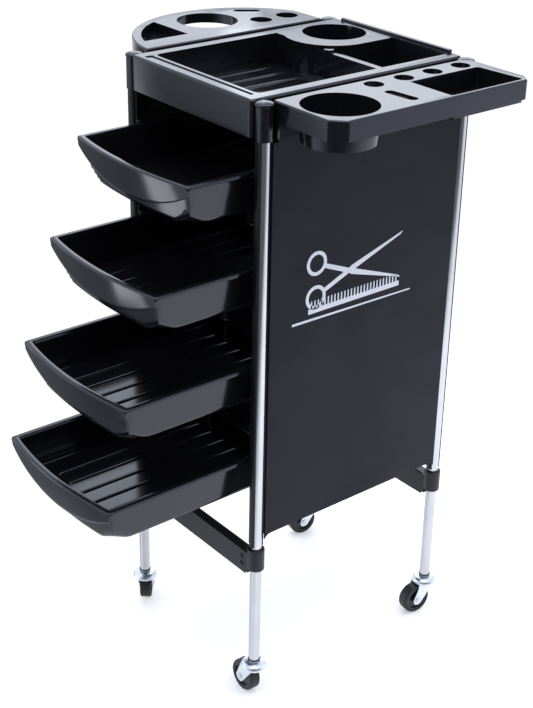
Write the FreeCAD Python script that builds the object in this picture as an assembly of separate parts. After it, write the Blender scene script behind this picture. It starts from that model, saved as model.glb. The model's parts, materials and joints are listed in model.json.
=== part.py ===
import FreeCAD, Part
import math
import os

# Spa and salon trolley: four tube legs on casters, black moulded panels, four pull-out
# drawers, a moulded top tray and a lift-off tool tray on each side.
# Millimetres. +X is the right side seen from the front, +Y the back, +Z up.
# The origin is the centre of the leg square, on the floor.

Vector = FreeCAD.Vector
UP = Vector(0, 0, 1)
LEFT, RIGHT = -1, 1
FRONT, REAR = -1, 1
SIDE_NAME = {LEFT: "left", RIGHT: "right"}
END_NAME = {FRONT: "front", REAR: "rear"}
CORNERS = [(side, end) for end in (FRONT, REAR) for side in (LEFT, RIGHT)]

# Frame
LEG_X = 138.0                 # half the leg spacing across the trolley
LEG_Y = 171.0                 # half the leg spacing from front to back
TUBE_R = 8.0
TUBE_WALL = 1.2
TUBE_BOTTOM = 64.0
TUBE_TOP = 876.0
RIM_TOP = 888.0               # height of the working surface
FIT_GAP = 0.05                # radial gap of a pin or tube in its hole

# Corner sockets and their caps
SOCKET_R = 11.0
SOCKET_BOTTOM = 839.0
SOCKET_TOP = 882.0
CAP_R = 12.0
CAP_SPIGOT_R = 3.0

# Post strips, panels and runners
STRIP_BOTTOM = 257.0
STRIP_WALL = 1.6
STRIP_OPEN_OUT = 58.0         # half angle of the open side, in degrees
PANEL_INNER_X = 143.0
PANEL_OUTER_X = 146.0
PANEL_BOTTOM = 274.0
PANEL_TOP = 878.0
RUNNER_OUTER_X = 127.5
RUNNER_END_Y = 176.5
RUNNER_WALL = 1.6

# Drawers
DRAWER_RIMS = [796.0, 665.5, 526.0, 388.0]
DRAWER_HEIGHT = 57.0
DRAWER_LENGTH = 335.0
DRAWER_CLOSED_Y = -183.0      # front corners of a closed drawer
DRAWER_PULLED = [91.0, 139.0, 186.0, 215.0]
DRAWER_TRAVEL = 250.0
TAB_X = 125.4                 # reach of the stop tabs at the back of a drawer
TAB_FRONT = DRAWER_LENGTH - 30
TAB_BACK = DRAWER_LENGTH - 17
STOP_GAP = 0.5
FLANGE_X = 122.0
FLANGE_THICK = 6.0
DRAWER_WALL = 2.5
FRONT_BOW = 12.0              # bow of the rim and of the lip along its top
BASE_X = 109.0                # half width of the underside
BASE_FRONT = 15.0             # setback of the front wall behind the rim, at the underside
MOUTH_FRONT = 5.0             # and at the mouth
LIP_THICK = 3.2
LIP_RAKE = 5.0
LIP_END_DROP = 12.0           # depth of the lens-shaped lip at its ends
LIP_MID_DROP = 45.0           # and in the middle

# Crossbars and their collars
COLLAR_R = 12.0
COLLAR_BOTTOM = 219.0
COLLAR_TOP = 252.5
BAR_BOTTOM = 206.0
BAR_TOP = 242.0
BAR_END_X = 124.0
BAR_HALF_DEPTH = 8.0
BAR_WALL = 2.5

# Casters
WHEEL_R = 23.5
WHEEL_WIDTH = 17.5
TYRE_DEPTH = 5.0
CASTER_TRAIL = 18.0
AXLE_R = 3.0
STEM_R = 4.0
FORK_WALL = 1.8
FORK_GAP = 1.2
DOME_R = 18.5
DOME_RIM = 50.5
DOME_TOP = 59.5
# Direction, in degrees from +X, in which each wheel trails behind its stem.
TRAIL_ANGLE = {(LEFT, FRONT): 141.0, (RIGHT, FRONT): 178.0, (LEFT, REAR): 262.0, (RIGHT, REAR): 263.0}

# Top tray
TRAY_X = 127.0
TRAY_FRONT = -183.0
TRAY_BACK = 176.0
TRAY_BOTTOM = 841.0
TRAY_FLOOR = 845.5
WALL = 2.5
WELL_X = 109.0
WELL_FRONT = -158.0
WELL_BACK = 166.0
CUP_X, CUP_Y, CUP_R = -67.0, 118.5, 45.0
CUP_FLOOR = 834.0
PLATEAU_X, PLATEAU_Y, PLATEAU_R = -62.0, 106.0, 65.0    # bulge of the deck round the cup
PLATEAU_LEFT_Y = 48.0         # front of the deck beside the left wall
REAR_LIP_RISE = 4.0
FLOOR_RIB_WIDE, FLOOR_RIB_HIGH = 8.0, 1.8
DIVIDER_Y = 57.0
DIVIDER_HALF = 5.0
DIVIDER_DROP = 6.0            # top of the divider below the rim

# Side trays
SIDE_INNER_X = 139.0
SIDE_PLATE = 3.0
RIGHT_OUTER_X = 256.0
RIGHT_SKIRT_BOTTOM = 862.0
LEFT_SKIRT_BOTTOM = 871.0
SIDE_FRONT = -160.0
SIDE_BACK = 170.0
DRYER_CUP_X, DRYER_CUP_Y, DRYER_CUP_R = 199.8, -106.3, 48.5
DRYER_CUP_BOTTOM = 843.0
RING_X, RING_Y, RING_R = -222.0, 12.0, 44.0
TOOL_HOLE_R = 13.0
TOOL_HOLE_LEFT_R = 16.0
TOOL_HOLES_RIGHT = [(159.5, -15.0), (159.5, 36.5), (159.5, 87.0), (159.5, 138.0)]
TOOL_HOLES_LEFT = [(-182.0, 79.0), (-182.0, 127.5)]
# The left tray is a disc about this centre, cut off behind and along the trolley.
DISC_X, DISC_Y, DISC_R = -124.0, 12.0, 163.0
LEFT_BACK = 157.0
LEFT_POCKET_RIM = 13.0        # from the tray's edge to its front pocket
POCKET_X = 177.5              # inner side of the right tray's pocket, clear of the holes beside it


def box(x0, y0, z0, x1, y1, z1):
    low = Vector(min(x0, x1), min(y0, y1), min(z0, z1))
    return Part.makeBox(abs(x1 - x0), abs(y1 - y0), abs(z1 - z0), low)


def cylinder(radius, x, y, z0, z1):
    return Part.makeCylinder(radius, z1 - z0, Vector(x, y, z0))


def tube(outer, inner, x, y, z0, z1):
    return cylinder(outer, x, y, z0, z1).cut(cylinder(inner, x, y, z0 - 1, z1 + 1))


def fuse(shapes):
    return shapes[0].multiFuse(shapes[1:]).removeSplitter() if len(shapes) > 1 else shapes[0]


def cut(shape, tools):
    return shape.cut(fuse(tools))


def rounded_wire(corners, z):
    """Closed wire through (x, y, radius) corners, each rounded by its radius."""
    edges = []
    starts = []
    ends = []
    count = len(corners)
    for i, (x, y, radius) in enumerate(corners):
        here = Vector(x, y, z)
        before = Vector(corners[i - 1][0], corners[i - 1][1], z) - here
        after = Vector(corners[(i + 1) % count][0], corners[(i + 1) % count][1], z) - here
        before.normalize()
        after.normalize()
        half = before.getAngle(after) / 2
        reach = radius / math.tan(half)
        first = here + before * reach
        last = here + after * reach
        bisector = before + after
        bisector.normalize()
        middle = here + bisector * (radius / math.sin(half) - radius)
        starts.append(first)
        ends.append(last)
        if radius > 0:
            edges.append(Part.Arc(first, middle, last).toShape())
    for i in range(count):
        a, b = ends[i], starts[(i + 1) % count]
        if (b - a).Length > 1e-6:
            edges.append(Part.LineSegment(a, b).toShape())
    return Part.Wire(Part.__sortEdges__(edges))


def rounded_prism(corners, z0, z1):
    return Part.Face(rounded_wire(corners, z0)).extrude(Vector(0, 0, z1 - z0))


def rounded_box(x0, y0, x1, y1, radius, z0, z1):
    corners = [(x0, y0, radius), (x1, y0, radius), (x1, y1, radius), (x0, y1, radius)]
    return rounded_prism(corners, z0, z1)


def plate_outline(points, thickness_from, thickness_to):
    """Solid plate in a YZ plane, from x = thickness_from to thickness_to."""
    wire = Part.makePolygon([Vector(thickness_from, y, z) for y, z in points + points[:1]])
    return Part.Face(wire).extrude(Vector(thickness_to - thickness_from, 0, 0))


def revolve(profile, x, y):
    """Solid of revolution about the vertical line at x, y from (radius, z) points."""
    wire = Part.makePolygon([Vector(x + r, y, z) for r, z in profile + profile[:1]])
    return Part.Face(wire).revolve(Vector(x, y, 0), UP, 360)


def round_edges(shape, radius, wanted):
    edges = [edge for edge in shape.Edges if wanted(edge)]
    return shape.makeFillet(radius, edges)


def level(z):
    """Test for the edges that lie flat at height z."""
    return lambda edge: all(abs(v.Z - z) < 1e-4 for v in edge.Vertexes) and abs(edge.CenterOfMass.z - z) < 1e-3


# ---------------------------------------------------------------- frame

def leg(side, end):
    x, y = side * LEG_X, end * LEG_Y
    return tube(TUBE_R, TUBE_R - TUBE_WALL, x, y, TUBE_BOTTOM, TUBE_TOP)


def tongue(side, end, gap):
    """Rib of a corner socket that slots into the corner of the top tray."""
    x, y = side * (LEG_X - 13), end * (LEG_Y - 10)
    return box(x - side * 9, y - 2 - gap, SOCKET_BOTTOM + 4 - gap, side * LEG_X, y + 2 + gap, SOCKET_TOP - 5 + gap)


def corner_socket(side, end):
    x, y = side * LEG_X, end * LEG_Y
    body = fuse([cylinder(SOCKET_R, x, y, SOCKET_BOTTOM, SOCKET_TOP), tongue(side, end, 0)])
    bore = cylinder(TUBE_R + FIT_GAP, x, y, SOCKET_BOTTOM - 1, TUBE_TOP + 0.3)
    spigot_hole = cylinder(CAP_SPIGOT_R + FIT_GAP, x, y, TUBE_TOP, SOCKET_TOP + 1)
    return cut(body, [bore, spigot_hole])


def socket_cap(side, end):
    x, y = side * LEG_X, end * LEG_Y
    steps = 6
    rise = RIM_TOP - SOCKET_TOP - 2.5
    dome = []
    for i in range(steps + 1):
        angle = math.radians(90.0 * i / steps)
        dome.append((CAP_R * math.cos(angle), SOCKET_TOP + 2.5 + rise * math.sin(angle)))
    dome[-1] = (0, RIM_TOP)
    profile = [(0, SOCKET_TOP), (CAP_R - 0.8, SOCKET_TOP), (CAP_R, SOCKET_TOP + 0.8)] + dome
    return fuse([revolve(profile, x, y), cylinder(CAP_SPIGOT_R, x, y, TUBE_TOP + 1, SOCKET_TOP)])


def post_strip(side, end):
    """Snap-on strip round the inner side of a leg; it carries the runners and the panel edge."""
    x, y = side * LEG_X, end * LEG_Y
    inner = TUBE_R + 0.1
    outer = inner + STRIP_WALL
    ring = tube(outer, inner, x, y, STRIP_BOTTOM, SOCKET_BOTTOM - 0.5)
    spread = math.radians(STRIP_OPEN_OUT)
    far = 30.0
    mouth = Part.makePolygon([
        Vector(x, y, STRIP_BOTTOM - 1),
        Vector(x + side * far * math.cos(spread), y - far * math.sin(spread), STRIP_BOTTOM - 1),
        Vector(x + side * far * math.cos(spread), y + far * math.sin(spread), STRIP_BOTTOM - 1),
        Vector(x, y, STRIP_BOTTOM - 1)])
    mouth = Part.Face(mouth).extrude(Vector(0, 0, 700))
    backing = box(side * (LEG_X + 1.5), y - end * 8.8, PANEL_BOTTOM + 1,
                  side * (PANEL_INNER_X - 0.1), y - end * 26, SOCKET_BOTTOM - 2)
    pad = box(side * RUNNER_OUTER_X, y - 5, STRIP_BOTTOM, side * (LEG_X - inner - 0.8), y + 5, SOCKET_BOTTOM - 0.5)
    return fuse([ring.cut(mouth), backing, pad])


def side_panel(side):
    edge = LEG_Y - 8.7
    shoulder = LEG_Y - 16
    low, top = SOCKET_BOTTOM - 3, PANEL_TOP
    # Each lower corner sweeps down a little beside its leg.
    sweep = [(10.0, 0.0), (5.5, 1.0), (2.0, 3.4), (0.0, 7.0)]
    outline = [(edge - inward, PANEL_BOTTOM - drop) for inward, drop in sweep]
    outline += [(edge, low), (shoulder, low), (shoulder, top), (-shoulder, top), (-shoulder, low), (-edge, low)]
    outline += [(-edge + inward, PANEL_BOTTOM - drop) for inward, drop in reversed(sweep)]
    return plate_outline(outline, side * PANEL_INNER_X, side * PANEL_OUTER_X)


def drawer_front(index):
    return DRAWER_CLOSED_Y - DRAWER_PULLED[index]


def drawer_runner(side, index):
    """Channel rail, open towards the drawer, with a stop for its rear tab and one for its back edge."""
    rim = DRAWER_RIMS[index]
    outer = side * RUNNER_OUTER_X
    under = rim - FLANGE_THICK - 0.3
    over = rim + 0.6
    end = RUNNER_END_Y
    web = box(outer, -end, under - 1.8, outer - side * RUNNER_WALL, end, over + 1.6)
    lower = box(outer, -end, under - 1.8, side * 117.3, end, under)
    upper = box(outer, -end, over, side * 120.0, end, over + 1.6)
    front_stop_y = DRAWER_CLOSED_Y - DRAWER_TRAVEL + TAB_FRONT - STOP_GAP
    front_stop = box(outer - side, front_stop_y - 5, rim - 5, side * (TAB_X - 1.2), front_stop_y, rim - 1)
    rear_stop_y = DRAWER_CLOSED_Y + DRAWER_LENGTH + STOP_GAP
    rear_stop = box(outer - side, rear_stop_y, rim - 5, side * (FLANGE_X - 2), rear_stop_y + 4, rim - 1)
    return fuse([web, lower, upper, front_stop, rear_stop])


def crossbar(end):
    y = end * LEG_Y
    outer = box(-BAR_END_X, y - BAR_HALF_DEPTH, BAR_BOTTOM, BAR_END_X, y + BAR_HALF_DEPTH, BAR_TOP)
    outer = round_edges(outer, 2.0, lambda e: level(BAR_TOP)(e) and e.Length > 100)
    hollow = box(-BAR_END_X - 1, y - BAR_HALF_DEPTH + BAR_WALL, BAR_BOTTOM - 1,
                 BAR_END_X + 1, y + BAR_HALF_DEPTH - BAR_WALL, BAR_TOP - BAR_WALL)
    holes = [Part.makeCylinder(2.1, 8, Vector(x, y + end * (BAR_HALF_DEPTH + 2), z), Vector(0, -end, 0))
             for x, z in screw_places()]
    return cut(outer, [hollow] + holes)


def screw_places():
    return [(side * 115.0, z) for side in (LEFT, RIGHT) for z in (218.0, 230.0)]


def leg_collar(side, end):
    """Sleeve round a leg with a lug that plugs into the end of the crossbar."""
    x, y = side * LEG_X, end * LEG_Y
    sleeve = cylinder(COLLAR_R, x, y, COLLAR_BOTTOM, COLLAR_TOP)
    sleeve = round_edges(sleeve, 1.5, lambda e: level(COLLAR_BOTTOM)(e) or level(COLLAR_TOP)(e))
    web = box(side * BAR_END_X + side * 0.2, y - BAR_HALF_DEPTH, BAR_BOTTOM + 4, x, y + BAR_HALF_DEPTH, BAR_TOP)
    lug = box(side * (BAR_END_X - 16), y - BAR_HALF_DEPTH + BAR_WALL + 0.1, BAR_BOTTOM + 4,
              side * (BAR_END_X + 1), y + BAR_HALF_DEPTH - BAR_WALL - 0.1, BAR_TOP - BAR_WALL - 0.1)
    below = box(x - side * 8, y - 20, BAR_BOTTOM, x + side * 20, y + 20, COLLAR_BOTTOM)
    bore = cylinder(TUBE_R + FIT_GAP, x, y, BAR_BOTTOM - 1, COLLAR_TOP + 1)
    threads = [Part.makeCylinder(1.5, 9, Vector(px, y + end * (BAR_HALF_DEPTH - BAR_WALL), z), Vector(0, -end, 0))
               for px, z in screw_places() if px * side > 0]
    return cut(fuse([sleeve, web.cut(below), lug]), [bore] + threads)


def crossbar_screws():
    """Pan-head screws that hold the crossbars to the collar lugs."""
    screws = []
    for end in (FRONT, REAR):
        face = end * (LEG_Y + BAR_HALF_DEPTH)
        for x, z in screw_places():
            head = Part.makeCylinder(3.4, 1.6, Vector(x, face, z), Vector(0, end, 0))
            head = round_edges(head, 1.0, lambda e: abs(e.CenterOfMass.y - face) > 1.5)
            shank = Part.makeCylinder(1.5, 8.5, Vector(x, face, z), Vector(0, -end, 0))
            driver = [box(x - 1.8, face + end * 0.8, z - 0.35, x + 1.8, face + end * 3, z + 0.35),
                      box(x - 0.35, face + end * 0.8, z - 1.8, x + 0.35, face + end * 3, z + 1.8)]
            screws.append(cut(fuse([head, shank]), driver))
    return Part.makeCompound(screws)


# ---------------------------------------------------------------- casters

def caster_sleeve(side, end):
    """Plastic plug in the foot of a leg that grips the caster stem."""
    x, y = side * LEG_X, end * LEG_Y
    plug = cylinder(TUBE_R - TUBE_WALL - FIT_GAP, x, y, TUBE_BOTTOM, TUBE_BOTTOM + 32)
    flange = cylinder(TUBE_R + 0.8, x, y, TUBE_BOTTOM - 2, TUBE_BOTTOM)
    return cut(fuse([plug, flange]), [cylinder(STEM_R + 0.02, x, y, TUBE_BOTTOM - 3, TUBE_BOTTOM + 33)])


def caster_stem(side, end):
    """Steel stem: its collar sits under the leg and its riveted head holds the fork."""
    x, y = side * LEG_X, end * LEG_Y
    pin = cylinder(STEM_R, x, y, DOME_TOP - 3.5, TUBE_BOTTOM + 30)
    collar = cylinder(7.5, x, y, DOME_TOP + 0.3, TUBE_BOTTOM - 2)
    head = cylinder(6.5, x, y, DOME_TOP - 5.2, DOME_TOP - 2.8)
    return fuse([pin, collar, head])


def in_caster_frame(shape, side, end):
    """Turns a shape built with its wheel trailing along +X from the Z axis, and moves it to its leg."""
    placed = shape.copy()
    placed.rotate(Vector(0, 0, 0), UP, TRAIL_ANGLE[side, end])
    placed.translate(Vector(side * LEG_X, end * LEG_Y, 0))
    return placed


def across(radius, half_width):
    """Cylinder along the wheel's axle line, centred on the wheel."""
    start = Vector(CASTER_TRAIL, -half_width, WHEEL_R)
    return Part.makeCylinder(radius, 2 * half_width, start, Vector(0, 1, 0))


def caster_fork(side, end):
    inner_gap = WHEEL_WIDTH / 2 + FORK_GAP
    outer_gap = inner_gap + FORK_WALL
    shoulder = DOME_TOP - 3.5
    dome = revolve([(0, DOME_RIM), (DOME_R, DOME_RIM), (DOME_R, DOME_RIM + 2.5), (DOME_R - 1.6, shoulder),
                    (DOME_R - 4.6, DOME_TOP - 0.9), (9.0, DOME_TOP), (0, DOME_TOP)], 0, 0)
    hollow = revolve([(0, DOME_RIM - 1), (DOME_R - 2, DOME_RIM - 1), (DOME_R - 2, DOME_RIM + 2.5),
                      (DOME_R - 4.5, DOME_TOP - 2.5), (0, DOME_TOP - 2.5)], 0, 0)
    # Side view of a fork leg: a wedge from the dome's width to a round end about the axle.
    end_r = 8.0
    axle = Vector(CASTER_TRAIL, 0, WHEEL_R)
    outline = []
    for top_x, turn in ((-13.5, 1), (14.0, -1)):
        top = Vector(top_x, 0, DOME_RIM + 3)
        span = axle - top
        swing = math.asin(end_r / span.Length)
        heading = math.atan2(span.z, span.x) - turn * swing
        reach = math.sqrt(span.Length ** 2 - end_r ** 2)
        tangent = top + Vector(math.cos(heading), 0, math.sin(heading)) * reach
        outline.append((top, tangent))
    (top_a, low_a), (top_b, low_b) = outline
    wire = Part.makePolygon([top_a, low_a, axle, low_b, top_b, top_a])
    legs = []
    for hand in (-1, 1):
        wedge = Part.Face(wire).extrude(Vector(0, FORK_WALL, 0))
        wedge.translate(Vector(0, min(hand * inner_gap, hand * outer_gap), 0))
        disc = Part.makeCylinder(end_r, FORK_WALL, axle + Vector(0, min(hand * inner_gap, hand * outer_gap), 0),
                                 Vector(0, 1, 0))
        legs += [wedge, disc]
    body = fuse([dome.cut(hollow)] + legs)
    stem_hole = cylinder(STEM_R + FIT_GAP, 0, 0, DOME_RIM, DOME_TOP + 1)
    rivet_room = cylinder(9.0, 0, 0, DOME_RIM - 3, DOME_TOP - 2.5)
    return in_caster_frame(cut(body, [stem_hole, rivet_room, across(AXLE_R + 0.02, outer_gap + 1)]), side, end)


def caster_axle(side, end):
    half = WHEEL_WIDTH / 2 + FORK_GAP + FORK_WALL
    pin = across(AXLE_R, half)
    heads = [across(4.6, half + 1.2).cut(across(5.0, half))]
    return in_caster_frame(fuse([pin] + heads), side, end)


def caster_hub(side, end):
    inner = WHEEL_R - TYRE_DEPTH
    half = WHEEL_WIDTH / 2
    hub = across(inner, half - 0.5)
    dish = across(inner - 2.5, half + 1).cut(across(inner, half - 3))
    boss = across(6.0, half)
    bore = across(AXLE_R + FIT_GAP, half + 1)
    return in_caster_frame(cut(fuse([hub.cut(dish), boss]), [bore]), side, end)


def caster_tyre(side, end):
    half = WHEEL_WIDTH / 2
    solid = across(WHEEL_R, half)
    solid = round_edges(solid, 3.0, lambda e: abs(e.Length - 2 * math.pi * WHEEL_R) < 0.5)
    return in_caster_frame(solid.cut(across(WHEEL_R - TYRE_DEPTH, half + 1)), side, end)


# ---------------------------------------------------------------- drawers

def drawer_wire(half, front, back, bow, z):
    """Plan outline of a drawer: bowed front, cut-off front corners, rounded back corners."""
    chamfer = 2.0
    back_r = 14.0
    right = Part.LineSegment(Vector(half, front + chamfer, z), Vector(half, back - back_r, z))
    left = Part.LineSegment(Vector(-half, back - back_r, z), Vector(-half, front + chamfer, z))
    rear = Part.LineSegment(Vector(half - back_r, back, z), Vector(-half + back_r, back, z))
    slant = back_r * (1 - math.sqrt(0.5))
    rear_right = Part.Arc(Vector(half, back - back_r, z), Vector(half - slant, back - slant, z),
                          Vector(half - back_r, back, z))
    rear_left = Part.Arc(Vector(-half + back_r, back, z), Vector(-half + slant, back - slant, z),
                         Vector(-half, back - back_r, z))
    corner_left = Part.LineSegment(Vector(-half, front + chamfer, z), Vector(-half + chamfer, front, z))
    corner_right = Part.LineSegment(Vector(half - chamfer, front, z), Vector(half, front + chamfer, z))
    nose = Part.Arc(Vector(-half + chamfer, front, z), Vector(0, front - bow, z), Vector(half - chamfer, front, z))
    curves = [nose, corner_right, right, rear_right, rear, rear_left, left, corner_left]
    return Part.Wire([curve.toShape() for curve in curves])


def drawer_form(inset, low, high):
    """Tapered drawer body between two heights above its underside, inset from its outer face."""
    wires = []
    for z in (low, high):
        rise = z / DRAWER_HEIGHT
        half = BASE_X + 7.0 * rise - inset
        front = BASE_FRONT + (MOUTH_FRONT - BASE_FRONT) * rise + inset
        back = DRAWER_LENGTH - 8.0 + 4.0 * rise - inset
        bow = FRONT_BOW - 3.0 + 2.0 * rise
        wires.append(drawer_wire(half, front, back, bow, z))
    return Part.makeLoft(wires, True, True)


def drawer_corner_tool(side, inset):
    """Tool that takes a slanted facet off a lower front corner."""
    a = Vector(side * (BASE_X - 23), BASE_FRONT - 2, 0)
    b = Vector(side * BASE_X, 40.0, 0)
    c = Vector(side * (BASE_X + 1.5), BASE_FRONT, 13.0)
    normal = (b - a).cross(c - a)
    normal.normalize()
    if normal.x * side < 0:
        normal = normal * -1
    centre = (a + b + c) * (1.0 / 3) - normal * inset
    return Part.makeCylinder(60, 50, centre, normal)


def drawer_fascia():
    """Lens-shaped lip: a bowed, slightly raked face with a lower edge that is an arc."""
    shells = []
    for inset in (0.0, LIP_THICK):
        top = drawer_wire(FLANGE_X - 1 - inset, inset, 60, FRONT_BOW, DRAWER_HEIGHT)
        bottom = drawer_wire(FLANGE_X - 3 - inset, LIP_RAKE + inset, 60, FRONT_BOW - LIP_RAKE, 0)
        shells.append(Part.makeLoft([bottom, top], True, True))
    top_z, side_z, low_z = DRAWER_HEIGHT, DRAWER_HEIGHT - LIP_END_DROP, DRAWER_HEIGHT - LIP_MID_DROP
    half = FLANGE_X + 2
    arc = Part.Arc(Vector(-half, -40, side_z), Vector(0, -40, low_z), Vector(half, -40, side_z)).toShape()
    lines = Part.makePolygon([Vector(half, -40, side_z), Vector(half, -40, top_z), Vector(-half, -40, top_z),
                              Vector(-half, -40, side_z)])
    lens = Part.Face(Part.Wire([arc] + lines.Edges)).extrude(Vector(0, 75, 0))
    # The ends stay in front of the runners of a closed drawer.
    behind = [box(-200, 14, -5, 200, 100, 100)]
    behind += [box(side * 115, 5.7, -5, side * 200, 100, 100) for side in (LEFT, RIGHT)]
    return cut(shells[0].cut(shells[1]).common(lens), behind)


def floor_rib(x, front, back, floor):
    """Low rounded bar along a moulded floor."""
    radius = (FLOOR_RIB_WIDE ** 2 / 4 + FLOOR_RIB_HIGH ** 2) / (2 * FLOOR_RIB_HIGH)
    bar = Part.makeCylinder(radius, back - front, Vector(x, front, floor + FLOOR_RIB_HIGH - radius), Vector(0, 1, 0))
    return bar.common(box(x - FLOOR_RIB_WIDE, front, floor - 0.5, x + FLOOR_RIB_WIDE, back, floor + 5))


def drawer(index):
    outer = drawer_form(0.0, 0.0, DRAWER_HEIGHT)
    rim = Part.Face(drawer_wire(FLANGE_X, 0, DRAWER_LENGTH, FRONT_BOW, DRAWER_HEIGHT - FLANGE_THICK))
    rim = rim.extrude(Vector(0, 0, FLANGE_THICK))
    cavity = drawer_form(DRAWER_WALL, DRAWER_WALL, DRAWER_HEIGHT + 2)
    for side in (LEFT, RIGHT):
        outer = outer.cut(drawer_corner_tool(side, 0))
        cavity = cavity.cut(drawer_corner_tool(side, DRAWER_WALL))
    shell = fuse([outer, rim, drawer_fascia()]).cut(cavity)
    ribs = [floor_rib(x, 45, 285, DRAWER_WALL) for x in (-75, -45, -15, 15, 45, 75)]
    tabs = [box(side * (FLANGE_X - 2), TAB_FRONT, DRAWER_HEIGHT - 5, side * TAB_X, TAB_BACK, DRAWER_HEIGHT - 1.5)
            for side in (LEFT, RIGHT)]
    solid = fuse([shell] + ribs + tabs)
    solid.translate(Vector(0, drawer_front(index), DRAWER_RIMS[index] - DRAWER_HEIGHT))
    return solid


# ---------------------------------------------------------------- top tray

def plateau(grow, z0, z1):
    """Deck round the cup, bulging into the well."""
    return fuse([cylinder(PLATEAU_R - grow, PLATEAU_X, PLATEAU_Y, z0 - 1, z1 + 1),
                 box(-WELL_X - 20, PLATEAU_LEFT_Y + grow, z0 - 1, PLATEAU_X, PLATEAU_Y, z1 + 1),
                 box(-WELL_X - 20, PLATEAU_Y, z0 - 1, PLATEAU_X + PLATEAU_R - grow, WELL_BACK + 20, z1 + 1)])


def well(grow, z0, z1):
    """Open space of the top tray, with its deck and divider left standing."""
    room = rounded_box(-WELL_X - grow, WELL_FRONT - grow, WELL_X + grow, WELL_BACK + grow, 9 + grow, z0, z1)
    half = DIVIDER_HALF - grow
    divider = box(PLATEAU_X, DIVIDER_Y - half, z0 - 1, WELL_X + 20, DIVIDER_Y + half, z1 + 1)
    return room.cut(plateau(grow, z0, z1)).cut(divider)


def top_tray():
    corners = [(-TRAY_X, TRAY_FRONT, 6), (TRAY_X, TRAY_FRONT, 6), (TRAY_X, TRAY_BACK, 6), (-TRAY_X, TRAY_BACK, 6)]
    block = rounded_prism(corners, TRAY_BOTTOM, RIM_TOP)
    block = round_edges(block, 3.5, level(RIM_TOP))
    shrunk = rounded_box(-TRAY_X + WALL, TRAY_FRONT + WALL, TRAY_X - WALL, TRAY_BACK - WALL, 4,
                         TRAY_BOTTOM - 1, RIM_TOP - WALL)
    cup_outer = cylinder(CUP_R + WALL, CUP_X, CUP_Y, CUP_FLOOR - WALL, RIM_TOP - 1)
    keep = fuse([well(WALL, TRAY_FLOOR - WALL, RIM_TOP + 1), cup_outer])
    shell = block.cut(shrunk.cut(keep))
    shell = fuse([shell, cylinder(CUP_R + WALL, CUP_X, CUP_Y, CUP_FLOOR - WALL, TRAY_FLOOR)])
    # A recessed band along the front rim, with a raised inner lip beside it.
    band = rounded_box(-WELL_X, TRAY_FRONT + 8, WELL_X, WELL_FRONT - 5, 3, RIM_TOP - 1.4, RIM_TOP + 1)
    # The divider is lower than the rim.
    divider_top = RIM_TOP - DIVIDER_DROP
    saddle = box(PLATEAU_X, DIVIDER_Y - DIVIDER_HALF, divider_top, WELL_X, DIVIDER_Y + DIVIDER_HALF, RIM_TOP + 1)
    saddle = saddle.cut(plateau(0, divider_top, RIM_TOP + 2))
    cup = cylinder(CUP_R, CUP_X, CUP_Y, CUP_FLOOR, RIM_TOP + 1)
    cutters = [well(0, TRAY_FLOOR, RIM_TOP + 2), cup, band, saddle]
    for side, end in CORNERS:
        cutters.append(cylinder(CAP_R + 0.3, side * LEG_X, end * LEG_Y, TRAY_BOTTOM - 5, RIM_TOP + 5))
        cutters.append(tongue(side, end, 0.1))
    shell = cut(shell, cutters)
    join_x = PLATEAU_X + PLATEAU_R - 18
    bridge = box(join_x, DIVIDER_Y - DIVIDER_HALF, divider_top - WALL, WELL_X + 1, DIVIDER_Y + DIVIDER_HALF, divider_top)
    knob = cylinder(DIVIDER_HALF + 2, join_x + 8, DIVIDER_Y, divider_top - 8, RIM_TOP - 2.5)
    ribs = [floor_rib(x, -145, 24, TRAY_FLOOR) for x in (-94, -63, -32, 0, 32, 63, 94)]
    lip_top = RIM_TOP + REAR_LIP_RISE
    lip = rounded_box(-TRAY_X + 15, TRAY_BACK - 6, TRAY_X - 20, TRAY_BACK + 1, 2, RIM_TOP - 12, lip_top)
    lip = round_edges(lip, 1.5, level(lip_top))
    return fuse([shell, lip, bridge, knob] + ribs)


# ---------------------------------------------------------------- side trays

def panel_slot(side, front, back):
    """Room for the top edge of a panel under a side tray, open below."""
    return box(side * (PANEL_INNER_X - 0.5), front, RIM_TOP - 27, side * (PANEL_OUTER_X + 0.5), back,
               PANEL_TOP + 0.3)


def hook_ribs(side, places):
    """Slotted ribs under a side tray that drop over the top edge of the panel."""
    ribs = []
    for y in places:
        rib = box(side * SIDE_INNER_X, y - 5, RIM_TOP - 26, side * (PANEL_OUTER_X + 4), y + 5, RIM_TOP - 2)
        ribs.append(rib.cut(panel_slot(side, y - 6, y + 6)))
    return ribs


def end_hooks(side):
    """Deep end walls beside the sockets, notched for the shoulder of the panel."""
    hooks = []
    for end, y in ((FRONT, SIDE_FRONT + 1.0), (REAR, SIDE_BACK - 10.0)):
        hooks.append(box(side * SIDE_INNER_X, y, SOCKET_BOTTOM + 2, side * (PANEL_OUTER_X + 3), y + 3, RIM_TOP - 2))
    return hooks


def thin_tray(outline, inset_outline, bottom):
    """Plate with a skirt round its edge, open underneath."""
    block = rounded_prism(outline, bottom, RIM_TOP)
    block = round_edges(block, 2.5, level(RIM_TOP))
    return block.cut(rounded_prism(inset_outline, bottom - 1, RIM_TOP - SIDE_PLATE))


def collar(radius, x, y, bottom):
    return cylinder(radius + WALL, x, y, bottom, RIM_TOP - 1)


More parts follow.
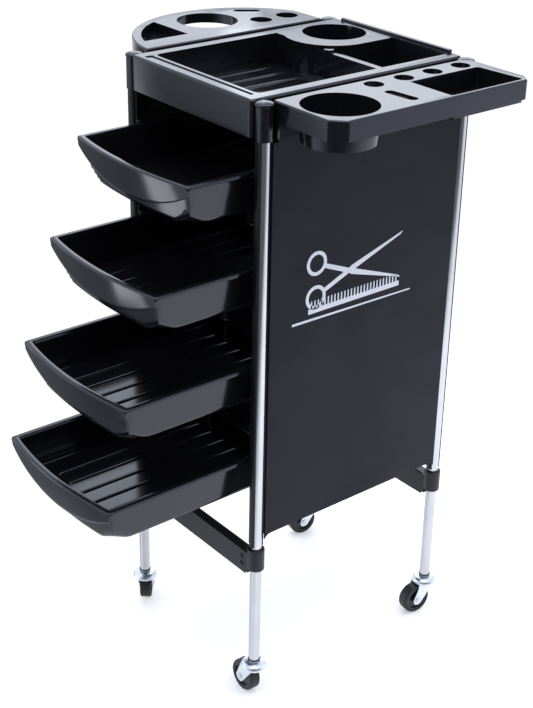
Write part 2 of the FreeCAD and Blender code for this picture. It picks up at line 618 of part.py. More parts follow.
def side_tray_right():
    inner, outer, front, back = SIDE_INNER_X, RIGHT_OUTER_X, SIDE_FRONT, SIDE_BACK
    outline = [(inner, front, 2), (outer - 18, front, 8), (outer, front + 17, 8), (outer, back - 10, 6),
               (outer - 14, back, 6), (inner, back, 2)]
    w = WALL
    inset = [(inner + w, front + w, 1), (outer - 19, front + w, 6), (outer - w, front + 18, 6),
             (outer - w, back - 11, 4), (outer - 15, back - w, 4), (inner + w, back - w, 1)]
    tray = thin_tray(outline, inset, RIGHT_SKIRT_BOTTOM)
    cup = Part.makeCone(DRYER_CUP_R - 1.5, DRYER_CUP_R + WALL, RIM_TOP - 10 - DRYER_CUP_BOTTOM,
                        Vector(DRYER_CUP_X, DRYER_CUP_Y, DRYER_CUP_BOTTOM))
    cup_top = cylinder(DRYER_CUP_R + WALL, DRYER_CUP_X, DRYER_CUP_Y, RIM_TOP - 10, RIM_TOP - 1)
    pocket_low, pocket_floor = RIGHT_SKIRT_BOTTOM - 4, RIGHT_SKIRT_BOTTOM - 1.5
    pocket = [(POCKET_X, 29, 5), (outer - 4.5, 29, 5), (outer - 4.5, 157, 5), (POCKET_X, 151, 5)]
    pocket_outer = [(POCKET_X - w, 29 - w, 6), (outer - w, 29 - w, 6), (outer - w, 157 + w, 6),
                    (POCKET_X - w, 151 + w, 6)]
    slot = [(190, -30, 6.5), (239, -25, 6.5), (239, -11, 6.5), (190, -16, 6.5)]
    solids = [tray, cup, cup_top, rounded_prism(pocket_outer, pocket_low, RIM_TOP - 1)]
    # Short collars: the row of holes runs over the top edge of the panel.
    solids += [collar(TOOL_HOLE_R, x, y, PANEL_TOP + 1.5) for x, y in TOOL_HOLES_RIGHT]
    solids += hook_ribs(RIGHT, (-60.0, 11.0, 62.0)) + end_hooks(RIGHT)
    holes = [cylinder(DRYER_CUP_R, DRYER_CUP_X, DRYER_CUP_Y, RIM_TOP - 10, RIM_TOP + 1),
             Part.makeCone(DRYER_CUP_R - 4, DRYER_CUP_R, RIM_TOP - 10 - DRYER_CUP_BOTTOM - WALL,
                           Vector(DRYER_CUP_X, DRYER_CUP_Y, DRYER_CUP_BOTTOM + WALL)),
             rounded_prism(pocket, pocket_floor, RIM_TOP + 1), rounded_prism(slot, RIM_TOP - 30, RIM_TOP + 1)]
    holes += [cylinder(TOOL_HOLE_R, x, y, RIM_TOP - 30, RIM_TOP + 1) for x, y in TOOL_HOLES_RIGHT]
    holes += [socket_clearance(RIGHT, end) for end in (FRONT, REAR)]
    return cut(fuse(solids), holes)


def socket_clearance(side, end):
    return cylinder(CAP_R + 0.8, side * LEG_X, end * LEG_Y, SOCKET_BOTTOM - 5, RIM_TOP + 5)


def disc_at(radius, x):
    """Front crossing of a circle about the left tray's centre with the line at x."""
    return DISC_Y - math.sqrt(radius ** 2 - (x - DISC_X) ** 2)


def cut_disc(inset, z0, z1):
    """Block in the left tray's outline: straight along the trolley and behind, one arc outside."""
    radius = DISC_R - inset
    back = LEFT_BACK - inset
    a = Vector(-SIDE_INNER_X - inset, disc_at(radius, -SIDE_INNER_X - inset), z0)
    b = Vector(DISC_X - math.sqrt(radius ** 2 - (back - DISC_Y) ** 2), back, z0)
    c = Vector(-SIDE_INNER_X - inset, back, z0)
    arc = Part.Arc(a, Vector(DISC_X - radius, DISC_Y, z0), b).toShape()
    sides = [Part.LineSegment(b, c).toShape(), Part.LineSegment(c, a).toShape()]
    return Part.Face(Part.Wire([arc] + sides)).extrude(Vector(0, 0, z1 - z0))


def side_tray_left():
    bottom = LEFT_SKIRT_BOTTOM
    block = round_edges(cut_disc(0, bottom, RIM_TOP), 2.5, level(RIM_TOP))
    tray = block.cut(cut_disc(WALL, bottom - 1, RIM_TOP - SIDE_PLATE))
    pocket = wedge_pocket(0, RIM_TOP - 14, RIM_TOP + 1)
    pocket_outer = wedge_pocket(WALL, RIM_TOP - 16.5, RIM_TOP - 1)
    slot = [(-254, 83, 6), (-243.5, 76, 6), (-221, 109, 6), (-231.5, 116, 6)]
    solids = [tray, pocket_outer, collar(RING_R, RING_X, RING_Y, RIM_TOP - 14)]
    solids += [collar(TOOL_HOLE_LEFT_R, x, y, RIM_TOP - 14) for x, y in TOOL_HOLES_LEFT]
    solids += hook_ribs(LEFT, (-132.0, -50.0, 30.0, 118.0))
    holes = [pocket, cylinder(RING_R, RING_X, RING_Y, RIM_TOP - 40, RIM_TOP + 1),
             rounded_prism(slot, RIM_TOP - 30, RIM_TOP + 1)]
    holes += [cylinder(TOOL_HOLE_LEFT_R, x, y, RIM_TOP - 30, RIM_TOP + 1) for x, y in TOOL_HOLES_LEFT]
    # The skirt crosses the panel's top edge at both ends.
    holes.append(panel_slot(LEFT, SIDE_FRONT, SIDE_BACK))
    holes += [socket_clearance(LEFT, end) for end in (FRONT, REAR)]
    return cut(fuse(solids), holes)


def wedge_pocket(grow, z0, z1):
    """Three-sided pocket in the front of the left tray; its outer side follows the tray's edge."""
    radius = DISC_R - LEFT_POCKET_RIM + grow
    right, back = -174.0 + grow, -57.0 + grow
    a = Vector(right, back, z0)
    b = Vector(DISC_X - math.sqrt(radius ** 2 - (back - DISC_Y) ** 2), back, z0)
    c = Vector(right, disc_at(radius, right), z0)
    slant = radius * math.sqrt(0.5)
    middle = Vector(DISC_X - slant, DISC_Y - slant, z0)
    wire = Part.Wire([Part.LineSegment(a, b).toShape(), Part.Arc(b, middle, c).toShape(),
                      Part.LineSegment(c, a).toShape()])
    return Part.Face(wire).extrude(Vector(0, 0, z1 - z0))


# ---------------------------------------------------------------- printed motif

def panel_print():
    """Thin white print on the right panel: open scissors and a comb over a long rule."""
    x0, x1 = PANEL_OUTER_X, PANEL_OUTER_X + 0.3

    def strip(points):
        return plate_outline(points, x0, x1)

    def ring(y, z, outer, inner):
        axis = Vector(1, 0, 0)
        disc = Part.makeCylinder(outer, x1 - x0, Vector(x0, y, z), axis)
        return disc.cut(Part.makeCylinder(inner, x1 - x0 + 2, Vector(x0 - 1, y, z), axis))

    rule = strip([(-125, 580), (86, 578), (86, 580), (-125, 583.5)])
    blades = []
    for flip in (-1, 1):
        z = 636.0
        blades.append(strip([(-28, z - flip * 3.5), (62, z + flip * 30), (66, z + flip * 34), (-26, z + flip * 6)]))
        blades.append(strip([(-24, z + flip * 6), (-28, z - flip * 3), (-72, z - flip * 21), (-74, z - flip * 15)]))
        blades.append(ring(-86, z - flip * 24, 17, 12))
    comb = [strip([(-98, 590), (64, 590), (64, 597), (-98, 597)])]
    for i in range(27):
        y = -94 + i * 5.8
        comb.append(strip([(y, 596.5), (y + 2.6, 596.5), (y + 2.2, 608), (y + 0.4, 608)]))
    return Part.makeCompound([rule, fuse(blades), fuse(comb)])


# ---------------------------------------------------------------- export

def save(shape, node):
    shape.exportStep("parts/" + node + ".step")


def main():
    os.makedirs("parts", exist_ok=True)
    for side, end in CORNERS:
        corner = END_NAME[end] + "_" + SIDE_NAME[side]
        save(leg(side, end), "leg_" + corner)
        save(corner_socket(side, end), "corner_socket_" + corner)
        save(post_strip(side, end), "post_strip_" + corner)
        save(leg_collar(side, end), "leg_collar_" + corner)
        save(caster_stem(side, end), "caster_stem_" + corner)
        save(caster_fork(side, end), "caster_fork_" + corner)
        save(caster_axle(side, end), "caster_axle_" + corner)
        save(caster_hub(side, end), "caster_hub_" + corner)
        save(caster_tyre(side, end), "caster_tyre_" + corner)
    save(Part.makeCompound([socket_cap(side, end) for side, end in CORNERS]), "socket_caps")
    save(Part.makeCompound([caster_sleeve(side, end) for side, end in CORNERS]), "caster_sleeves")
    for side in (LEFT, RIGHT):
        save(side_panel(side), "side_panel_" + SIDE_NAME[side])
        for index in range(len(DRAWER_RIMS)):
            save(drawer_runner(side, index), "runner_" + SIDE_NAME[side] + "_" + str(index + 1))
    for end in (FRONT, REAR):
        save(crossbar(end), "crossbar_" + END_NAME[end])
    save(crossbar_screws(), "crossbar_screws")
    for index in range(len(DRAWER_RIMS)):
        save(drawer(index), "drawer_" + str(index + 1))
    save(top_tray(), "top_tray")
    save(side_tray_left(), "side_tray_left")
    save(side_tray_right(), "side_tray_right")
    save(panel_print(), "panel_print")


main()
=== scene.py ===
import json
import math
import bmesh
import bpy
from mathutils import Matrix, Vector


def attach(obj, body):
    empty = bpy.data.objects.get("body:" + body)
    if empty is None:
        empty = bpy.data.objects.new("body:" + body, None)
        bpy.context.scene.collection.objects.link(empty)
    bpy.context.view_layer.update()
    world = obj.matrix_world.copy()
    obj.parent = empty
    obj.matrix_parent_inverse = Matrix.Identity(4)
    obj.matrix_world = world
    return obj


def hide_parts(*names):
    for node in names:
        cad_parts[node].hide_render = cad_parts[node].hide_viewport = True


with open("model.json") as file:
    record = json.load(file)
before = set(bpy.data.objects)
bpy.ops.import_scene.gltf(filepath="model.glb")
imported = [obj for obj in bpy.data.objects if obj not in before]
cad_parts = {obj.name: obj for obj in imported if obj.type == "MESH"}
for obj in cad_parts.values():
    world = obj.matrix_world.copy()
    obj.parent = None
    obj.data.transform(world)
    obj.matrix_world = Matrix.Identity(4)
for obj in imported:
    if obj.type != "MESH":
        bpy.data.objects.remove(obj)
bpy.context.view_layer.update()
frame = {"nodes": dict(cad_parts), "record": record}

SLOT_OF = {part["node"]: part["material_slot"] for part in frame["record"]["subparts"]}
BODY_OF = {node: body for body, nodes in frame["record"]["behaviour"]["bodies"].items() for node in nodes}

# ---------------------------------------------------------------- camera

CAMERA_AT = Vector((1.3958, -1.1923, 1.3721))
CAMERA_AZIMUTH = math.radians(50.70)      # round the object from the front towards its right side
CAMERA_ELEVATION = math.radians(25.48)
CAMERA_ROLL = math.radians(1.207)
LENS_MM = 71.70
SHIFT = (0.00145, -0.0474)


def make_camera():
    data = bpy.data.cameras.new("camera")
    data.lens = LENS_MM
    data.shift_x, data.shift_y = SHIFT
    data.clip_start, data.clip_end = 0.05, 60.0
    camera = bpy.data.objects.new("camera", data)
    bpy.context.scene.collection.objects.link(camera)
    back = Vector((math.sin(CAMERA_AZIMUTH) * math.cos(CAMERA_ELEVATION),
                   -math.cos(CAMERA_AZIMUTH) * math.cos(CAMERA_ELEVATION),
                   math.sin(CAMERA_ELEVATION)))
    turn = (-back).to_track_quat("-Z", "Y").to_matrix().to_4x4()
    camera.matrix_world = Matrix.Translation(CAMERA_AT) @ turn @ Matrix.Rotation(CAMERA_ROLL, 4, "Z")
    bpy.context.scene.camera = camera


# ---------------------------------------------------------------- materials

MAP_RANGE_ENDS = ("From Min", "From Max", "To Min", "To Max")

class Graph:
    """A material with a Principled shader and short helpers for its nodes."""

    def __init__(self, name, **settings):
        self.material = bpy.data.materials.new(name)
        self.material.use_nodes = True
        self.nodes = self.material.node_tree.nodes
        self.links = self.material.node_tree.links
        self.shader = self.nodes["Principled BSDF"]
        for socket, value in settings.items():
            self.shader.inputs[socket.replace("_", " ")].default_value = value
        self.coordinates = self.nodes.new("ShaderNodeTexCoord").outputs["Object"]

    def link(self, source, target):
        self.links.new(source, target)

    def scaled(self, scale):
        node = self.nodes.new("ShaderNodeMapping")
        node.inputs["Scale"].default_value = scale
        self.link(self.coordinates, node.inputs["Vector"])
        return node.outputs["Vector"]

    def noise(self, scale, detail=2.0, stretch=None, roughness=0.5):
        node = self.nodes.new("ShaderNodeTexNoise")
        node.inputs["Scale"].default_value = scale
        node.inputs["Detail"].default_value = detail
        node.inputs["Roughness"].default_value = roughness
        self.link(self.scaled(stretch) if stretch else self.coordinates, node.inputs["Vector"])
        return node.outputs["Fac"]

    def ramp(self, source, low, high, out_low, out_high):
        node = self.nodes.new("ShaderNodeMapRange")
        for socket, value in zip(MAP_RANGE_ENDS, (low, high, out_low, out_high)):
            node.inputs[socket].default_value = value
        self.link(source, node.inputs["Value"])
        return node.outputs["Result"]

    def mix(self, factor, first, second):
        node = self.nodes.new("ShaderNodeMix")
        node.data_type = "RGBA"
        for socket, value in ((node.inputs[6], first), (node.inputs[7], second)):
            if isinstance(value, bpy.types.NodeSocket):
                self.link(value, socket)
            else:
                socket.default_value = (*value, 1.0)
        self.link(factor, node.inputs[0])
        return node.outputs[2]

    def maths(self, operation, first, second):
        node = self.nodes.new("ShaderNodeMath")
        node.operation = operation
        for socket, value in zip(node.inputs, (first, second)):
            if isinstance(value, bpy.types.NodeSocket):
                self.link(value, socket)
            else:
                socket.default_value = value
        return node.outputs[0]

    def edges(self, radius):
        """Near 1 along the edges of the shape and 0 on its faces."""
        bevel = self.nodes.new("ShaderNodeBevel")
        bevel.samples = 4
        bevel.inputs["Radius"].default_value = radius
        geometry = self.nodes.new("ShaderNodeNewGeometry")
        product = self.nodes.new("ShaderNodeVectorMath")
        product.operation = "DOT_PRODUCT"
        self.link(bevel.outputs["Normal"], product.inputs[0])
        self.link(geometry.outputs["Normal"], product.inputs[1])
        return self.ramp(product.outputs["Value"], 0.995, 0.80, 0.0, 1.0)

    def colour(self, source):
        self.link(source, self.shader.inputs["Base Color"])

    def roughness(self, source):
        self.link(source, self.shader.inputs["Roughness"])

    def bump(self, *layers):
        """Each layer is (height, distance in metres)."""
        normal = None
        for height, distance in layers:
            node = self.nodes.new("ShaderNodeBump")
            node.inputs["Strength"].default_value = 1.0
            node.inputs["Distance"].default_value = distance
            self.link(height, node.inputs["Height"])
            if normal:
                self.link(normal, node.inputs["Normal"])
            normal = node.outputs["Normal"]
        self.link(normal, self.shader.inputs["Normal"])


def moulded_plastic(name, base, worn, rough, grain, grain_depth, ripple_depth=0.0, wear=0.35, **settings):
    """Injection-moulded plastic: tool grain, slow ripple, uneven gloss, rubbed edges and fine scratches."""
    g = Graph(name, **settings)
    smudge = g.noise(9.0, 4.0)
    scratch = g.noise(140.0, 2.0, stretch=(1.0, 0.04, 1.0))
    rubbed = g.maths("MULTIPLY", g.edges(0.0016), g.ramp(g.noise(55.0, 3.0), 0.35, 0.7, 0.15, wear))
    g.colour(g.mix(rubbed, base, worn))
    uneven = g.ramp(smudge, 0.3, 0.7, rough * 0.82, rough * 1.25)
    scored = g.ramp(scratch, 0.66, 0.78, 0.0, rough * 0.5)
    g.roughness(g.maths("ADD", g.maths("ADD", uneven, scored), g.maths("MULTIPLY", rubbed, 0.18)))
    g.bump((g.noise(grain, 3.0), grain_depth), (g.noise(14.0, 1.0), ripple_depth))
    return g.material


def bare_metal(name, base, dull, rough, streak, depth):
    """Plated steel: fine drawn lines, cloudy patches and slightly duller spots."""
    g = Graph(name, Metallic=1.0)
    cloud = g.noise(22.0, 4.0)
    lines = g.noise(400.0, 2.0, stretch=streak)
    g.colour(g.mix(g.ramp(cloud, 0.42, 0.75, 0.0, 0.6), base, dull))
    g.roughness(g.maths("ADD", g.ramp(cloud, 0.3, 0.7, rough * 0.75, rough * 1.3),
                        g.ramp(lines, 0.4, 0.7, 0.0, rough * 0.35)))
    g.bump((lines, depth))
    return g.material


def rubber():
    g = Graph("tyre_rubber", IOR=1.45)
    dust = g.ramp(g.noise(160.0, 4.0), 0.45, 0.75, 0.0, 0.5)
    g.colour(g.mix(dust, (0.006, 0.006, 0.0075), (0.03, 0.029, 0.028)))
    g.roughness(g.ramp(g.noise(40.0, 3.0), 0.3, 0.7, 0.38, 0.6))
    g.bump((g.noise(900.0, 3.0), 0.00012))
    return g.material


def ink():
    g = Graph("print_white", IOR=1.45)
    patchy = g.noise(420.0, 3.0)
    g.colour(g.mix(g.ramp(patchy, 0.45, 0.8, 0.0, 0.5), (0.80, 0.82, 0.88), (0.70, 0.72, 0.78)))
    g.roughness(g.ramp(patchy, 0.3, 0.7, 0.4, 0.6))
    g.bump((patchy, 0.00004))
    return g.material


def make_materials():
    plastics = {
        "gloss_black": moulded_plastic(
            "gloss_black", (0.0062, 0.0064, 0.0084), (0.02, 0.02, 0.024), 0.12, 700.0, 0.000008, 0.00018,
            IOR=1.53, Specular_Tint=(0.86, 0.90, 1.0, 1.0)),
        "strip_black": moulded_plastic(
            "strip_black", (0.0030, 0.0030, 0.0036), (0.02, 0.02, 0.022), 0.34, 900.0, 0.00002, IOR=1.36),
        "panel_charcoal": moulded_plastic(
            "panel_charcoal", (0.0040, 0.0044, 0.0060), (0.02, 0.02, 0.024), 0.42, 1400.0, 0.00003, 0.0001,
            IOR=1.29, Specular_Tint=(0.76, 0.82, 1.0, 1.0)),
        "collar_black": moulded_plastic(
            "collar_black", (0.0050, 0.0050, 0.0065), (0.03, 0.03, 0.032), 0.34, 1100.0, 0.00003, IOR=1.42),
        "sleeve_plastic": moulded_plastic(
            "sleeve_plastic", (0.02, 0.02, 0.023), (0.05, 0.05, 0.055), 0.4, 900.0, 0.00002),
        "hub_black": moulded_plastic(
            "hub_black", (0.008, 0.008, 0.010), (0.04, 0.04, 0.04), 0.38, 800.0, 0.00003),
    }
    metals = {
        "leg_chrome": bare_metal(
            "leg_chrome", (0.57, 0.58, 0.60), (0.48, 0.49, 0.52), 0.13, (1.0, 1.0, 0.02), 0.000006),
        "caster_zinc": bare_metal(
            "caster_zinc", (0.74, 0.79, 0.84), (0.60, 0.65, 0.70), 0.24, (1.0, 1.0, 0.3), 0.00001),
        "caster_steel": bare_metal(
            "caster_steel", (0.66, 0.70, 0.74), (0.52, 0.56, 0.60), 0.3, (1.0, 1.0, 1.0), 0.00001),
        "screw_steel": bare_metal(
            "screw_steel", (0.06, 0.065, 0.08), (0.04, 0.04, 0.05), 0.34, (1.0, 1.0, 1.0), 0.00001),
    }
    return {**plastics, **metals, "tyre_rubber": rubber(), "print_white": ink()}


# ---------------------------------------------------------------- pieces made from the frame's nodes

MM = 0.001
SHARP_ANGLE = math.radians(38.0)      # edges sharper than this stay hard when a piece is shaded smooth
WELD_DISTANCE = 1e-6
FLAT_ANGLE = math.radians(0.6)        # faces closer to one plane than this are merged
ROUNDED_ANGLE = math.radians(28.0)    # edges sharper than this are rounded
ROUNDING_SEGMENTS = 3
ROUNDING_WIDTH = {"top_tray": 0.0013, "side_tray_left": 0.0011, "side_tray_right": 0.0011,
                  "side_panel_left": 0.0005, "side_panel_right": 0.0005}

def placed(node, mesh):
    """Puts a mesh built in metres in the scene in the place of a CAD node."""
    piece = bpy.data.objects.new(node + "_skin", mesh)
    bpy.context.scene.collection.objects.link(piece)
    mesh.shade_smooth()
    mesh.set_sharp_from_angle(angle=SHARP_ANGLE)
    mesh.materials.append(MATERIALS[SLOT_OF[node]])
    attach(piece, BODY_OF[node])
    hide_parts(node)
    return piece


def refined(node, width):
    """A new piece in the place of a CAD node, with every sharp edge rounded as a moulding's is."""
    source = frame["nodes"][node]
    mesh = bpy.data.meshes.new(node + "_skin")
    made = bmesh.new()
    made.from_mesh(source.data)
    bmesh.ops.remove_doubles(made, verts=made.verts, dist=WELD_DISTANCE)
    bmesh.ops.dissolve_limit(made, angle_limit=FLAT_ANGLE, verts=made.verts, edges=made.edges)
    made.to_mesh(mesh)
    made.free()
    piece = placed(node, mesh)
    bevel = piece.modifiers.new("rounding", "BEVEL")
    bevel.width = width
    bevel.segments = ROUNDING_SEGMENTS
    bevel.limit_method = "ANGLE"
    bevel.angle_limit = ROUNDED_ANGLE
    bevel.harden_normals = True
    bevel.miter_outer = "MITER_ARC"


def dress(node):
    """Gives a carried-over CAD node its material."""
    target = frame["nodes"][node]
    target.data.materials.clear()
    target.data.materials.append(MATERIALS[SLOT_OF[node]])


# ---------------------------------------------------------------- drawers, in millimetres

DRAWER_HEIGHT = 57.0
DRAWER_LENGTH = 335.0
FLANGE_X = 122.0
FRONT_BOW = 12.0
BASE_X, BASE_FRONT = 109.0, 15.0
WALL = 2.5
LIP_THICK = 3.2
LIP_TOP = 55.2
LIP_LOWEST = 12.0
LIP_ARC_R = 249.5
LIP_COLUMNS = 44
LIP_TUCK = 1.5                        # how far the flange's front is set back behind the lip
BACK_R = 14.0
NOSE_STEPS = 32
SIDE_STEPS = (0.0, 0.02, 0.04, 0.06, 0.08, 0.11, 0.15, 0.3, 0.5, 0.7, 0.88, 1.0)
TURN = [math.radians(a) for a in (22.5, 45.0, 67.5)]
# Rings of the drawer's shell, each (height, inset): up the outside, round the flange and down the inside.
OUTSIDE = ((0, 9), (0, 2.0), (0.6, 0.6), (2.0, 0), (5, 0), (9, 0), (14, 0), (24, 0), (36, 0), (46, 0),
           (49.5, 0), (50.7, -0.5))
FLANGE = ((51.0, 2.5), (51.1, 0.8), (51.8, 0.0), (53.5, 0.0), (54.6, 0.0), (55.9, 0.35), (56.7, 1.15),
          (57.0, 2.3))
INSIDE = ((57.0, 1.2), (56.7, 2.0), (55.8, 2.5), (48, 2.5), (36, 2.5), (22, 2.5), (12, 2.5), (7, 2.5),
          (4.6, 3.1), (3.2, 4.4), (WALL, 6.5), (WALL, 14))
# Floor ribs: where they stand, their rise along their length, and their section (across, share of the rise).
RIB_X = (-75, -45, -15, 15, 45, 75)
RIB_RISE = ((45, 0.1), (46, 1.1), (49, 1.8), (281, 1.8), (284, 1.1), (285, 0.1))
RIB_SECTION = ((-4.2, -0.2), (-3.5, 0.27), (-2.4, 0.66), (-1.2, 0.92), (0, 1.0), (1.2, 0.92), (2.4, 0.66),
               (3.5, 0.27), (4.2, -0.2))
# Stop tab that runs in the runner, on each side.
TAB_PLAN = ((120, 305), (124.9, 305), (125.4, 305.8), (125.4, 317.2), (124.9, 318), (120, 318))
TAB_HEIGHTS = (52.0, 55.5)


def plan_ring(half, front, back, bow, z, corner=2.5):
    """Plan outline of a drawer, with the same number of points whatever its size."""
    half_turn = []
    straight = back - BACK_R - front - corner
    for a in (math.radians(30), math.radians(60)):
        half_turn.append((half - corner + corner * math.sin(a), front + corner * (1 - math.cos(a))))
    half_turn += [(half, front + corner + f * straight) for f in SIDE_STEPS]
    half_turn += [(half - BACK_R + BACK_R * math.cos(a), back - BACK_R + BACK_R * math.sin(a)) for a in TURN]
    half_turn += [((half - BACK_R) * (1 - f), back) for f in (0.0, 0.33, 0.67)]
    nose = [-1 + 2 * i / NOSE_STEPS for i in range(NOSE_STEPS + 1)]
    points = [(s * (half - corner), front - bow * (1 - s * s)) for s in nose]
    points += half_turn + [(0.0, back)] + [(-x, y) for x, y in reversed(half_turn)]
    return [Vector((x, y, z)) for x, y in points]


def body_ring(z, inset):
    """Outline of the tapered body, with its lower front corners cut off by slanted facets."""
    rise = z / DRAWER_HEIGHT
    half = BASE_X + 7 * rise - inset
    front = BASE_FRONT - 10 * rise + inset
    back = DRAWER_LENGTH - 8 + 4 * rise - inset
    ring = plan_ring(half, front, back, FRONT_BOW - 3 + 2 * rise, z)
    for side in (-1, 1):
        in_front = Vector((side * (BASE_X - 23), BASE_FRONT - 2, 0))
        beside = Vector((side * BASE_X, 40, 0))
        above = Vector((side * (BASE_X + 1.5), BASE_FRONT, 13))
        normal = (beside - in_front).cross(above - in_front).normalized()
        if normal.x * side < 0:
            normal = -normal
        flat = Vector((normal.x, normal.y, 0))
        for point in ring:
            beyond = (point - in_front).dot(normal) + inset
            if beyond > 0:
                point -= flat * (beyond / flat.length_squared)
    return ring


def flange_ring(z, edge):
    """Outline of the flange round the mouth; its front is tucked behind the lip below the lip's top."""
    ring = plan_ring(FLANGE_X - edge, edge, DRAWER_LENGTH - edge, FRONT_BOW, z)
    if z < LIP_TOP - 1:
        for point in ring[:NOSE_STEPS + 1]:
            point.y += LIP_TUCK
    return ring


def loft(rings, mesh, closed=True):
    """Quads between successive rings of a bmesh; flat caps on the first and last when closed."""
    made = [[mesh.verts.new(point * MM) for point in ring] for ring in rings]
    count = len(made[0])
    for low, high in zip(made, made[1:]):
        for i in range(count if closed else count - 1):
            j = (i + 1) % count
            mesh.faces.new((low[i], low[j], high[j], high[i]))
    if closed:
        mesh.faces.new(list(reversed(made[0])))
        mesh.faces.new(made[-1])
    return made


def lip_low(x):
    """Height of the lip's lower edge: an arc, lowest in the middle."""
    return LIP_LOWEST + LIP_ARC_R - math.sqrt(LIP_ARC_R * LIP_ARC_R - x * x)


def lip_front(x, z):
    """Place of the lip's face, which is more bowed at its top than at its foot."""
    high = -FRONT_BOW * (1 - (x / (FLANGE_X - 3)) ** 2)
    low = 5.0 - (FRONT_BOW - 5.0) * (1 - (x / (FLANGE_X - 5)) ** 2)
    return low + (high - low) * z / LIP_TOP + 0.04


def lip_column(s):
    """Section of the lens-shaped lip: down its face, round its lower edge and up behind."""
    x = s * (FLANGE_X - 1.2)
    low = lip_low(x)
    rounding = ((0.3, 0.3), (0.0, 1.0), (0.0, 2.2), (0.3, 2.9), (1.0, LIP_THICK))
    column = [(z, 0.0) for z in (low + 1 + (LIP_TOP - low - 1) * (1 - i / 8) for i in range(9))]
    column += [(low + up, back) for up, back in rounding]
    column.append((52.0, LIP_THICK))
    return [Vector((x, lip_front(x, z) + back, z)) for z, back in column]


def rib_ring(x, y, height):
    return [Vector((x + across, y, WALL + up * height)) for across, up in RIB_SECTION]


def make_drawer(node):
    source = frame["nodes"][node]
    corners = [source.matrix_world @ Vector(corner) for corner in source.bound_box]
    front = min(corner.y for corner in corners) + FRONT_BOW * MM
    top = max(corner.z for corner in corners)
    made = bmesh.new()
    outside = [body_ring(z, inset) for z, inset in OUTSIDE]
    flange = [flange_ring(z, edge) for z, edge in FLANGE]
    inside = [body_ring(z, inset) for z, inset in INSIDE]
    loft(outside + flange + inside, made)
    columns = [lip_column(-1 + 2 * i / LIP_COLUMNS) for i in range(LIP_COLUMNS + 1)]
    strips = loft(columns, made, closed=False)
    made.faces.new(strips[0])
    made.faces.new(list(reversed(strips[-1])))
    for x in RIB_X:
        loft([rib_ring(x, y, rise) for y, rise in RIB_RISE], made)
    for side in (-1, 1):
        loft([[Vector((side * x, y, z)) for x, y in TAB_PLAN] for z in TAB_HEIGHTS], made)
    bmesh.ops.recalc_face_normals(made, faces=made.faces)
    bmesh.ops.translate(made, verts=made.verts, vec=(0, front, top - DRAWER_HEIGHT * MM))
    mesh = bpy.data.meshes.new(node + "_skin")
    made.to_mesh(mesh)
    made.free()
    placed(node, mesh)


def make_pieces():
    drawers = ["drawer_%d" % i for i in range(1, 5)]
    for node in drawers:
        make_drawer(node)
    for node, width in ROUNDING_WIDTH.items():
        refined(node, width)
    for node in frame["nodes"]:
        if node not in drawers and node not in ROUNDING_WIDTH:
            dress(node)


# ---------------------------------------------------------------- studio

# Compass direction in degrees from +X and height in degrees of each dim patch, the cosines where it begins
# and ends, and the level outside and inside it.
ROOM_DIMMING = ((-32.0, -12.0, 0.30, 0.88, 1.15, 0.15), (-162.0, -34.0, 0.80, 0.95, 1.0, 0.22))
ROOM_TINT = (0.90, 0.94, 1.08, 1.0)
FLOOR_AT = (0.60, 0.45)
FLOOR_SOLID, FLOOR_ENDS = 0.75, 1.45
FLOOR_GLOW = 0.3
WHITE_TO_CAMERA = 1.05
# Name, place, target, size, radiance and tint of each light.
SOFTBOXES = (
    ("soft_behind", (-2.39, 2.74, 2.36), (0.1, 0, 0.85), (1.70, 1.10), 1.8, (0.90, 0.95, 1.0)),
    ("soft_behind_left", (-3.12, 1.93, 2.90), (0.1, 0, 0.85), (0.95, 2.6), 1.15, (0.90, 0.95, 1.0)),
    ("soft_front_low", (-0.62, -0.90, 0.24), (0.07, -0.3, 0.7), (0.24, 0.36), 3.0, (1.0, 0.99, 1.0)),
    ("soft_front_left", (-1.83, -1.09, 0.35), (-0.13, -0.17, 0.85), (0.20, 0.42), 1.7, (0.92, 0.96, 1.0)),
    ("soft_overhead", (0.2, -0.2, 3.4), (0, 0, 0.4), (3.0, 3.0), 2.0, (1.0, 1.0, 1.0)),
)


def softbox(name, at, towards, size, radiance, tint):
    data = bpy.data.lights.new(name, "AREA")
    data.shape = "RECTANGLE"
    data.size, data.size_y = size
    data.energy = radiance * math.pi * size[0] * size[1]
    data.color = tint
    lamp = bpy.data.objects.new(name, data)
    aim = (Vector(towards) - Vector(at)).to_track_quat("-Z", "Y").to_matrix().to_4x4()
    lamp.matrix_world = Matrix.Translation(at) @ aim
    lamp.visible_camera = False
    bpy.context.scene.collection.objects.link(lamp)


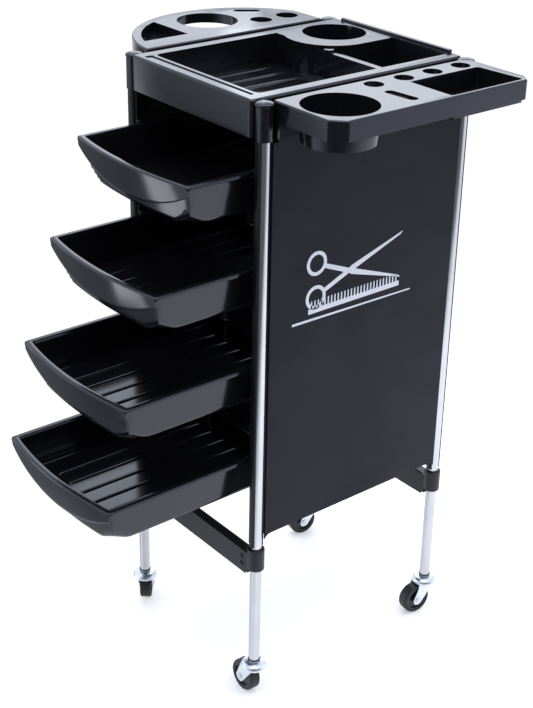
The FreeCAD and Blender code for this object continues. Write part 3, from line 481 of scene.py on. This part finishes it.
def make_room():
    """A pale room, dark behind the camera and dimmer to the left; plain white where the camera sees it."""
    world = bpy.data.worlds.new("studio")
    bpy.context.scene.world = world
    world.use_nodes = True
    nodes, links = world.node_tree.nodes, world.node_tree.links
    direction = nodes.new("ShaderNodeTexCoord").outputs["Generated"]
    levels = []
    for compass, height, begins, ends, bright, dim in ROOM_DIMMING:
        towards = nodes.new("ShaderNodeVectorMath")
        towards.operation = "DOT_PRODUCT"
        flat = math.cos(math.radians(height))
        towards.inputs[1].default_value = (math.cos(math.radians(compass)) * flat,
                                           math.sin(math.radians(compass)) * flat,
                                           math.sin(math.radians(height)))
        links.new(direction, towards.inputs[0])
        fade = nodes.new("ShaderNodeMapRange")
        fade.interpolation_type = "SMOOTHSTEP"
        for socket, value in zip(MAP_RANGE_ENDS, (begins, ends, bright, dim)):
            fade.inputs[socket].default_value = value
        links.new(towards.outputs["Value"], fade.inputs["Value"])
        levels.append(fade.outputs["Result"])
    level = nodes.new("ShaderNodeMath")
    level.operation = "MULTIPLY"
    for source, socket in zip(levels, level.inputs):
        links.new(source, socket)
    room = nodes["Background"]
    room.inputs["Color"].default_value = ROOM_TINT
    links.new(level.outputs[0], room.inputs["Strength"])
    seen = nodes.new("ShaderNodeBackground")
    seen.inputs["Color"].default_value = (1.0, 1.0, 1.0, 1.0)
    seen.inputs["Strength"].default_value = WHITE_TO_CAMERA
    choice = nodes.new("ShaderNodeMixShader")
    links.new(nodes.new("ShaderNodeLightPath").outputs["Is Camera Ray"], choice.inputs[0])
    links.new(room.outputs[0], choice.inputs[1])
    links.new(seen.outputs[0], choice.inputs[2])
    links.new(choice.outputs[0], nodes["World Output"].inputs["Surface"])


def make_floor():
    """A white sheet that fades out round its edge into the white of the room."""
    g = Graph("studio_floor", Roughness=0.7, Emission_Color=(1.0, 1.0, 1.0, 1.0),
              Emission_Strength=FLOOR_GLOW)
    g.colour(g.mix(g.ramp(g.noise(3.0, 3.0), 0.3, 0.7, 0.0, 1.0), (0.89, 0.89, 0.90), (0.91, 0.91, 0.92)))
    reach = g.nodes.new("ShaderNodeVectorMath")
    reach.operation = "LENGTH"
    g.link(g.coordinates, reach.inputs[0])
    sheet = g.nodes.new("ShaderNodeMixShader")
    g.link(g.ramp(reach.outputs["Value"], FLOOR_SOLID, FLOOR_ENDS, 1.0, 0.0), sheet.inputs[0])
    g.link(g.nodes.new("ShaderNodeBsdfTransparent").outputs[0], sheet.inputs[1])
    g.link(g.shader.outputs[0], sheet.inputs[2])
    g.link(sheet.outputs[0], g.nodes["Material Output"].inputs["Surface"])
    mesh = bpy.data.meshes.new("floor")
    half = FLOOR_ENDS + 0.2
    corners = [(-half, -half, 0), (half, -half, 0), (half, half, 0), (-half, half, 0)]
    mesh.from_pydata(corners, [], [(0, 1, 2, 3)])
    mesh.materials.append(g.material)
    floor = bpy.data.objects.new("floor", mesh)
    floor.location = (*FLOOR_AT, -0.0003)
    bpy.context.scene.collection.objects.link(floor)


def make_studio():
    bpy.context.scene.view_settings.view_transform = "Standard"
    make_room()
    make_floor()
    for light in SOFTBOXES:
        softbox(*light)


MATERIALS = make_materials()
make_camera()
make_pieces()
make_studio()
